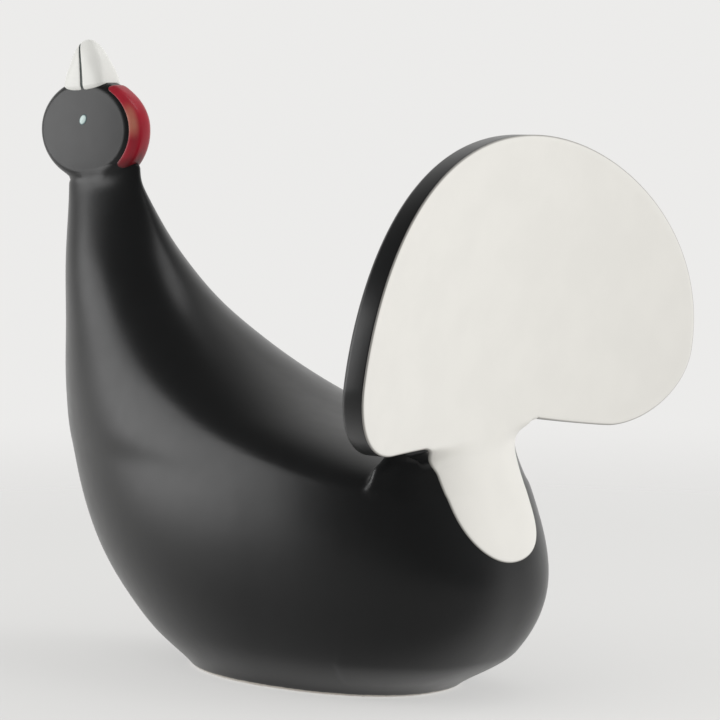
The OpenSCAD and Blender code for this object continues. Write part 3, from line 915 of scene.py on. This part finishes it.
@dataclass
class Body:
    """Hollow-cast body, neck and tail root as one smooth form, found where a field is 0.

    Each line has its place at the heights of its stations. A name that ends in soft is a reach of
    soft_max, one that ends in over is the span of a smooth step, and web pairs are left and right.
    """

    head: Head
    tail: Tail
    station_z: tuple[float, ...] = (0, 12, 35, 65, 83, 106, 126, 149)
    front: tuple[float, ...] = (-45.5, -65, -87, -100, -102, -103, -104.8, -107.0)
    half_w: tuple[float, ...] = (27, 35, 39, 38, 32, 22, 14.5, 4.45)
    square: tuple[float, ...] = (2.2, 2.6, 2.9, 2.9, 2.6, 2.3, 2.1, 2.0)
    mid_below: tuple[float, ...] = (0, 5, 5, 5)
    mid_above: tuple[float, ...] = (5, -37.5, -68.5, -83.5, -91.5)
    rump_z: tuple[float, ...] = (0, 12, 35, 72, 81)
    rump_rear: tuple[float, ...] = (45.5, 66, 75)
    back: tuple[float, ...] = (66, 1.8, -40.6, -61.6, -76.0)
    ridge: int = 3
    ridge_blur: float = 2.2
    nape_over: Span = (-93.0, -81.0)
    nape_rise: Span = (2.25, 7.5)
    nape_soft: float = 3.6
    root_front: Span = (46.5, 49.5)
    root_half_w: float = 41.0
    root_square: float = 2.3
    root_from: float = 8.0
    root_top: float = 86.0
    root_soft: Span = (3.0, 4.0)
    shoulder_over: Span = (76.0, 83.0)
    seat_overlap: float = 1.5
    seat_soft: Span = (1.5, 2.0)
    edge_over: Span = (-1.0, 0.5)
    web_drop: float = 8.0
    web_bend: float = 2.4
    web_bend_over: Span = (0.0, 16.0)
    web_out: Span = (37.0, 24.0)
    web_in: Span = (31.0, 17.0)
    fillet: float = 5.5
    fillet_least: float = 0.4
    fillet_over: tuple[float, float, float] = (-5.0, 0.0, 6.0)
    fillet_behind_over: Span = (9.0, 2.0)
    seat_reach: float = 9.5
    seat_over: Span = (2.0, 7.0)
    seat_deep_over: Span = (0.5, 5.0)
    collar: float = 1.8
    collar_h: float = 10.0
    collar_fade: float = 6.0
    collar_over: Span = (140.0, 145.0)
    sunk: float = 0.005
    foot_soft: float = 1.2
    vent: tuple[float, float, float] = (20.0, 4.0, 5.0)
    vent_soft: Span = (1.0, 0.6)
    grid_low: tuple[float, float, float] = (-119.37, -54.5, -2.37)
    grid_high: tuple[float, float, float] = (80.0, 54.5, 163.0)
    cell: float = 1.0
    slide: float = 0.6

    def __post_init__(self) -> None:
        """Reads every line of the body into fine tables, softened where lines meet at the ridge."""
        step = 0.1
        z = np.arange(-10, 170, step)
        low, up = self.station_z[:self.ridge + 1], self.station_z[self.ridge:]
        rear = self.rump_rear + tuple(self.tail.rear(0.0, h) for h in self.rump_z[3:])
        self.rump_line = rear
        above = z > self.ridge_z
        lines = {
            "front": through(z, self.station_z, self.front),
            "half_w": through(z, self.station_z, self.half_w),
            "square": through(z, self.station_z, self.square),
            "mid": np.where(above, through(z, up, self.mid_above), through(z, low, self.mid_below)),
            "rear": np.where(above, through(z, up, self.back), through(z, self.rump_z, rear)),
        }
        reach = np.arange(-4 * self.ridge_blur, 4 * self.ridge_blur + step, step)
        blur = np.exp(-(reach / self.ridge_blur) ** 2 / 2)
        pad = len(reach) // 2
        self.lines = {
            name: np.convolve(np.pad(v, pad, mode="edge"), blur / blur.sum(), mode="valid")[:len(z)]
            for name, v in lines.items()
        }
        self.lines["slope"] = np.gradient(self.lines["rear"], step)
        self.table_z = z

    @property
    def ridge_z(self) -> float:
        """Height of the ridge along each side."""
        return self.station_z[self.ridge]

    def line(self, name: str, z: Array) -> Array:
        """One of the body's lines at height z."""
        return np.interp(z, self.table_z, self.lines[name])

    def rump_arc(self, z: Array) -> tuple[Array, Array, Array, Array]:
        """Rear arc of the rump, which above the ridge goes over into the tail root's arc.

        Args:
            z: Heights.

        Returns:
            Middle, reach, half width and squareness of the arc at each height.
        """
        level = np.minimum(z, self.ridge_z)
        mid = through(level, self.station_z[:self.ridge + 1], self.mid_below)
        reach = through(z, self.rump_z, self.rump_line) - mid
        up = smoothstep(self.ridge_z - self.root_from, self.tail.stem_z, z)
        half_w = through(level, self.station_z, self.half_w)
        n = through(level, self.station_z, self.square)
        return mid, reach, between((half_w, self.root_half_w), up), between((n, self.root_square), up)

    def trunk_field(self, x: Array, y: Array, z: Array) -> Array:
        """Field of the trunk and neck, with the neck's top cut by a slope that rises to the nape.

        It is (r - 1) times a section's size, r to the n being the sum of the shares of its reach along
        and across, each to the n. In front of the middle n is 2.

        Args:
            x: Places along the bird.
            y: Places across.
            z: Heights.

        Returns:
            The field, below 0 inside.
        """
        mid, half_w = self.line("mid", z), self.line("half_w", z)
        q = x - mid
        behind = q > 0
        reach = np.where(behind, self.line("rear", z) - mid, mid - self.line("front", z))
        n = np.where(behind, self.line("square", z), 2.0)
        r = ((np.abs(q) / reach) ** n + (np.abs(y) / half_w) ** n) ** (1 / n)
        steep = np.where(behind, np.hypot(1, self.line("slope", z)), 1)
        top = self.station_z[-1] + between(self.nape_rise, smoothstep(*self.nape_over, x))
        return soft_max((r - 1) * np.minimum(half_w, reach) / steep, z - top, self.nape_soft)

    def root_field(self, x: Array, y: Array, z: Array) -> Array:
        """Field of the tail's root: the rump's arc carried up, cut across by its front and its top.

        Args:
            x: Places along the bird.
            y: Places across.
            z: Heights.

        Returns:
            The field, below 0 inside.
        """
        mid, reach, half_w, n = self.rump_arc(z)
        arc = (np.maximum(x - mid, 0) / reach) ** n + (np.abs(y) / half_w) ** n
        side = (arc ** (1 / n) - 1) * np.minimum(half_w, reach)
        front_soft, top_soft = self.root_soft
        return soft_max(soft_max(side, self.root_face(y, z) - x, front_soft), z - self.root_top, top_soft)

    def root_face(self, y: Array, z: Array) -> Array:
        """Front of the tail's root: it leans back, and over its shoulder runs into the fan.

        Args:
            y: Places across.
            z: Heights.

        Returns:
            The front's place along X.
        """
        share = (z - self.ridge_z) / (self.shoulder_over[0] - self.ridge_z)
        seat = self.tail.rear(y, z) - self.tail.thick + self.seat_overlap
        return between((between(self.root_front, share), seat), smoothstep(*self.shoulder_over, z))

    def seat_rear(self, y: Array, z: Array) -> Array:
        """Rear surface of the fan's seat: the fan's face, and below it clay that fills the step to the root.

        The clay's surface is the fan's face at the fan's lower edge and the root's arc web_drop below
        it, with a smooth step between the two, to the web_bend on the right. To each side it runs out
        from web_in to web_out.

        Args:
            y: Places across.
            z: Heights.

        Returns:
            The surface's place along X.
        """
        mid, reach, half_w, n = self.rump_arc(z)
        arc = mid + reach * np.clip(1 - (np.abs(y) / half_w) ** n, 0, 1) ** (1 / n)
        below = z - self.tail.lower_edge(y)
        bend = between((1, self.web_bend), smoothstep(*self.web_bend_over, y))
        share = smoothstep(-self.web_drop, 0, below) ** bend * self.web_share(y)
        share = np.maximum(share, smoothstep(*self.edge_over, below))
        return between((arc, self.tail.rear(y, z)), share)

    def web_share(self, y: Array) -> Array:
        """Share of the clay under the fan's lower edge: 1 at the stem, 0 under the lobes."""
        wide, full = (np.where(y < 0, *pair) for pair in (self.web_out, self.web_in))
        return smoothstep(wide, full, np.abs(y))

    def fan_field(self, x: Array, y: Array, z: Array) -> Array:
        """Field of the fan's lower part: its seat's two faces and its lower edge, with rounded corners.

        Args:
            x: Places along the bird.
            y: Places across.
            z: Heights.

        Returns:
            The field, below 0 inside.
        """
        face_soft, low_soft = self.seat_soft
        front = self.tail.rear(y, z) - self.tail.thick
        plate = soft_max(x - self.seat_rear(y, z), front - x, face_soft)
        low = self.tail.lower_edge(y) - (self.web_drop + 1) * self.web_share(y)
        return soft_max(plate, low - z, low_soft)

    def field(self, x: Array, y: Array, z: Array) -> Array:
        """Field of the whole casting, below 0 inside.

        Trunk and root are joined with a soft fillet above the ridge, and so are the fan's and the
        head's lower ends, which lie a hair inside those pieces. The flat foot and the vent's mouth are cut.

        Args:
            x: Places along the bird.
            y: Places across.
            z: Heights.

        Returns:
            The field at each place.
        """
        up = z - self.ridge_z
        start, least, full = self.fillet_over
        root = self.root_field(x, y, z)
        bend = between((self.fillet_least, 1), smoothstep(least, full, up))
        bend = bend * smoothstep(*self.fillet_behind_over, x - self.root_face(y, z))
        bend = self.fillet * bend * smoothstep(start, least, up)
        whole = soft_min(self.trunk_field(x, y, z), root, bend)
        near_root = np.maximum(self.fan_field(x, y, z) + self.sunk, root - self.seat_reach)
        bend = self.fillet * smoothstep(*self.seat_over, up)
        bend = bend * smoothstep(*self.seat_deep_over, self.seat_rear(y, z) - x)
        whole = soft_min(whole, near_root, bend)
        top = self.station_z[-1] + self.collar_h
        sunk = self.sunk + smoothstep(top - self.collar_fade, top, z)
        near_neck = np.maximum(self.head.distance(x, y, z) + sunk, z - top)
        whole = soft_min(whole, near_neck, self.collar * smoothstep(*self.collar_over, z))
        whole = soft_max(whole, -z, self.foot_soft)
        at, radius, deep = self.vent
        end_soft, mouth_soft = self.vent_soft
        hole = soft_max(np.hypot(x - at, y) - radius, z - deep, end_soft)
        return soft_max(whole, -hole, mouth_soft)


    def rear_surface(self, y: Array, z: Array) -> Array:
        """Rear surface of body and fan under the white.

        A place behind the bird steps forward by a millimetre until it lies inside, and the last step is
        then halved again and again. Above its lower edge the fan's face bounds the step.

        Args:
            y: Places across.
            z: Heights.

        Returns:
            The place along X at each of them.
        """
        face = self.tail.rear(y, z)
        plate = np.where(z > self.tail.lower_edge(y) - 0.05, 0.0, np.inf)

        def inside(x: Array) -> Array:
            """Whether each place lies in the body or the fan."""
            return np.minimum(self.field(x, y, z), x - face + plate) < 0

        at = face + 20
        for _ in range(40):
            at = np.where(inside(at), at, at - 1)
        low, high = at, at + 1
        for _ in range(14):
            mid = (low + high) / 2
            held = inside(mid)
            low, high = np.where(held, mid, low), np.where(held, high, mid)
        return (low + high) / 2

    def slope_of(self, p: Array) -> Array:
        """Slope of the field, from differences of a twentieth of a millimetre.

        Args:
            p: Points, one row each.

        Returns:
            The slope along each axis at each point.
        """
        h = 0.05
        steps = h * np.eye(3)
        return np.stack([
            (self.field(*(p + s).T) - self.field(*(p - s).T)) / (2 * h) for s in steps
        ], axis=1)

    def casting(self) -> Surface:
        """Body: a net of four-sided faces around the cells in which the field changes sign.

        Each such cell holds one point, first the mean of the places where the cell's edges cross 0,
        which then slides down the field's slope on to the surface.

        Returns:
            The closed surface.
        """
        axes = [np.arange(a, b + self.cell, self.cell) for a, b in zip(self.grid_low, self.grid_high)]
        value = self.field(*np.meshgrid(*axes, indexing="ij"))
        shape = np.array(value.shape) - 1
        corners = [(i, j, k) for i in (0, 1) for j in (0, 1) for k in (0, 1)]
        part = {c: value[tuple(slice(o, o + n) for o, n in zip(c, shape))] for c in corners}
        total, count = np.zeros((*shape, 3)), np.zeros(shape)
        for a in corners:
            for axis in [i for i in range(3) if a[i] == 0]:
                b = tuple(c + (i == axis) for i, c in enumerate(a))
                crosses = (part[a] < 0) != (part[b] < 0)
                t = np.where(crosses, part[a] / np.where(crosses, part[a] - part[b], 1), 0)
                place = np.array(a, float) + t[..., None] * np.eye(3)[axis]
                total += crosses[..., None] * place
                count += crosses
        held = count > 0
        number = np.full(shape, -1)
        number[held] = np.arange(held.sum())
        inner = np.argwhere(held) + total[held] / count[held][:, None]
        points = np.array(self.grid_low) + self.cell * inner
        faces = [self.net(value, number, axis) for axis in range(3)]
        for _ in range(4):
            slope = self.slope_of(points)
            step = self.field(*points.T) / np.maximum((slope ** 2).sum(1), 1e-4)
            move = step[:, None] * slope
            size = np.linalg.norm(move, axis=1, keepdims=True)
            points = points - move * np.minimum(1, self.slide * self.cell / np.maximum(size, 1e-9))
        return Surface(points, np.vstack(faces).tolist())

    @staticmethod
    def net(value: Array, number: Array, axis: int) -> Array:
        """Faces across the grid lines of one axis on which the field changes sign.

        Args:
            value: The field at the grid's corners.
            number: Number of the point in each cell.
            axis: The grid lines' axis.

        Returns:
            Four point numbers for each face, wound to look outwards.
        """
        value, number = (np.moveaxis(v, axis, 0) for v in (value, number))
        a, b = value[:-1, 1:-1, 1:-1], value[1:, 1:-1, 1:-1]
        around = [number[:, :-1, :-1], number[:, 1:, :-1], number[:, 1:, 1:], number[:, :-1, 1:]]
        rising, falling = (a < 0) & (b >= 0), (a >= 0) & (b < 0)
        turn = -1 if axis == 1 else 1
        out = np.stack([c[rising] for c in around], axis=1)[:, ::turn]
        back = np.stack([c[falling] for c in around], axis=1)[:, ::-turn]
        return np.vstack([out, back])

    def build(self) -> None:
        """Makes the casting."""
        shown("body_shell", self.casting(), BLACK)


# Studio


@dataclass(frozen=True)
class Lamp:
    """A rectangular soft light that faces the bird, in metres, degrees and watts."""

    name: str
    distance: float
    azimuth: float
    elevation: float
    size: Span
    power: float
    mirrored: bool = True


LAMPS = (
    Lamp("left_box", 0.90, -142, 9, (0.56, 0.64), 3.1),
    Lamp("top_box", 0.75, 50, 66, (0.30, 0.30), 0.5),
    Lamp("rear_fill", 0.90, 25, 10, (0.80, 0.60), 3.6, mirrored=False),
)


@dataclass
class Studio:
    """Pale floor, soft lights and the camera."""

    azimuth: float = 40.0
    elevation: float = 5.0
    distance: float = 0.9
    target: tuple[float, float, float] = (0.0157, 0.0, 0.0971)
    lens: float = 150.0
    sensor: float = 36.0
    bird: tuple[float, float, float] = (-0.03, 0.0, 0.1)
    backdrop: Colour = (0.84, 0.835, 0.825)
    ambient: float = 0.62
    dark_side: float = 0.08
    pale_side: float = 1.15
    pale_turn: float = 80.0
    pale_elevation: float = -30.0
    pale_span: Span = (-0.2, 0.7)
    floor_colour: Colour = (0.88, 0.875, 0.865)
    floor_clear: float = 0.6
    floor_span: Span = (0.28, 0.75)
    floor_radius: float = 1.0

    @staticmethod
    def direction(azimuth: float, elevation: float) -> Vector:
        """Unit vector at an angle round from +X and an angle up."""
        a, e = math.radians(azimuth), math.radians(elevation)
        return Vector((math.cos(a) * math.cos(e), math.sin(a) * math.cos(e), math.sin(e)))

    def camera(self) -> None:
        """Puts the camera at the photograph's angle."""
        data = bpy.data.cameras.new("camera")
        data.lens, data.sensor_width = self.lens, self.sensor
        made = bpy.data.objects.new("camera", data)
        back = self.direction(self.azimuth - 90, self.elevation)
        made.location = Vector(self.target) + back * self.distance
        made.rotation_euler = (-back).to_track_quat("-Z", "Y").to_euler()
        bpy.context.scene.collection.objects.link(made)
        bpy.context.scene.camera = made

    def softbox(self, lamp: Lamp) -> None:
        """Adds a lamp.

        Args:
            lamp: Its place, size and power.
        """
        data = bpy.data.lights.new(lamp.name, "AREA")
        data.shape, data.energy = "RECTANGLE", lamp.power
        data.size, data.size_y = lamp.size
        made = bpy.data.objects.new(lamp.name, data)
        away = self.direction(lamp.azimuth, lamp.elevation)
        made.location = Vector(self.bird) + lamp.distance * away
        made.rotation_euler = (-away).to_track_quat("-Z", "Y").to_euler()
        made.visible_glossy = lamp.mirrored
        bpy.context.scene.collection.objects.link(made)

    def world(self) -> None:
        """Backdrop for what is seen directly or mirrored, and a softer level of it as light.

        A mirrored ray sees the pale backdrop behind the bird and the dark room at the camera's side:
        its level is a smooth step over the cosine of its angle to the backdrop's middle.
        """
        made = bpy.data.worlds.new("studio")
        made.use_nodes = True
        bpy.context.scene.world = made
        sheet = NodeSheet(made.node_tree)
        ray = "ShaderNodeLightPath"
        at = sheet.add("ShaderNodeTexCoord", {}, {}, "Generated")
        away = self.direction(self.azimuth + self.pale_turn, self.pale_elevation)
        facing = sheet.add("ShaderNodeVectorMath", {"operation": "DOT_PRODUCT"}, {0: at, 1: away}, "Value")
        room = between((self.dark_side, self.pale_side), facing.rise(*self.pale_span))
        mirrored = sheet.add(ray, {}, {}, "Is Glossy Ray").larger(
            sheet.add(ray, {}, {}, "Is Transmission Ray")
        )
        seen = sheet.add(ray, {}, {}, "Is Camera Ray")
        level = between((between((self.ambient, room), mirrored), 1), seen)
        colour = {"Color": (*self.backdrop, 1.0), "Strength": level}
        shade = sheet.add("ShaderNodeBackground", {}, colour)
        sheet.add("ShaderNodeOutputWorld", {}, {"Surface": shade})

    def floor(self) -> None:
        """Pale floor that keeps the shadow and melts into the backdrop away from the bird."""
        turn = np.linspace(0, 2 * np.pi, 96, endpoint=False)
        r = np.linspace(0, self.floor_radius, 30)[1:, None]
        rings = np.stack([r * np.cos(turn), r * np.sin(turn), 0 * r * turn], -1)
        faces = ring_quads(len(r), len(turn)).tolist()
        mesh = bpy.data.meshes.new("floor")
        mesh.from_pydata(rings.reshape(-1, 3).tolist(), [], faces + [list(range(len(turn)))])
        made = bpy.data.objects.new("floor", mesh)
        bpy.context.scene.collection.objects.link(made)
        paper = bpy.data.materials.new("floor_paper")
        paper.use_nodes = True
        sheet = NodeSheet(paper.node_tree)
        far = sheet.add("ShaderNodeVectorMath", {"operation": "LENGTH"}, {0: sheet.place()}, "Value")
        matt = sheet.add("ShaderNodeBsdfDiffuse", {}, {"Color": (*self.floor_colour, 1.0)})
        clear = sheet.add("ShaderNodeBsdfTransparent", {}, {})
        fade = between((self.floor_clear, 1), far.rise(*self.floor_span))
        shade = sheet.add("ShaderNodeMixShader", {}, {0: fade, 1: matt, 2: clear})
        sheet.add("ShaderNodeOutputMaterial", {}, {"Surface": shade})
        mesh.materials.append(paper)

    def build(self) -> None:
        """Sets up the whole studio."""
        bpy.context.scene.view_settings.view_transform = "Standard"
        self.camera()
        self.world()
        self.floor()
        for lamp in LAMPS:
            self.softbox(lamp)


def main() -> None:
    """Builds the bird and its studio."""
    logging.basicConfig(level=logging.INFO, format="%(name)s: %(message)s")
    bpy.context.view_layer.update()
    head, tail = Head(), Tail()
    body = Body(head, tail)
    body.build()
    tail.build(body)
    head.build()
    Studio().build()


if __name__ == "__main__":
    main()
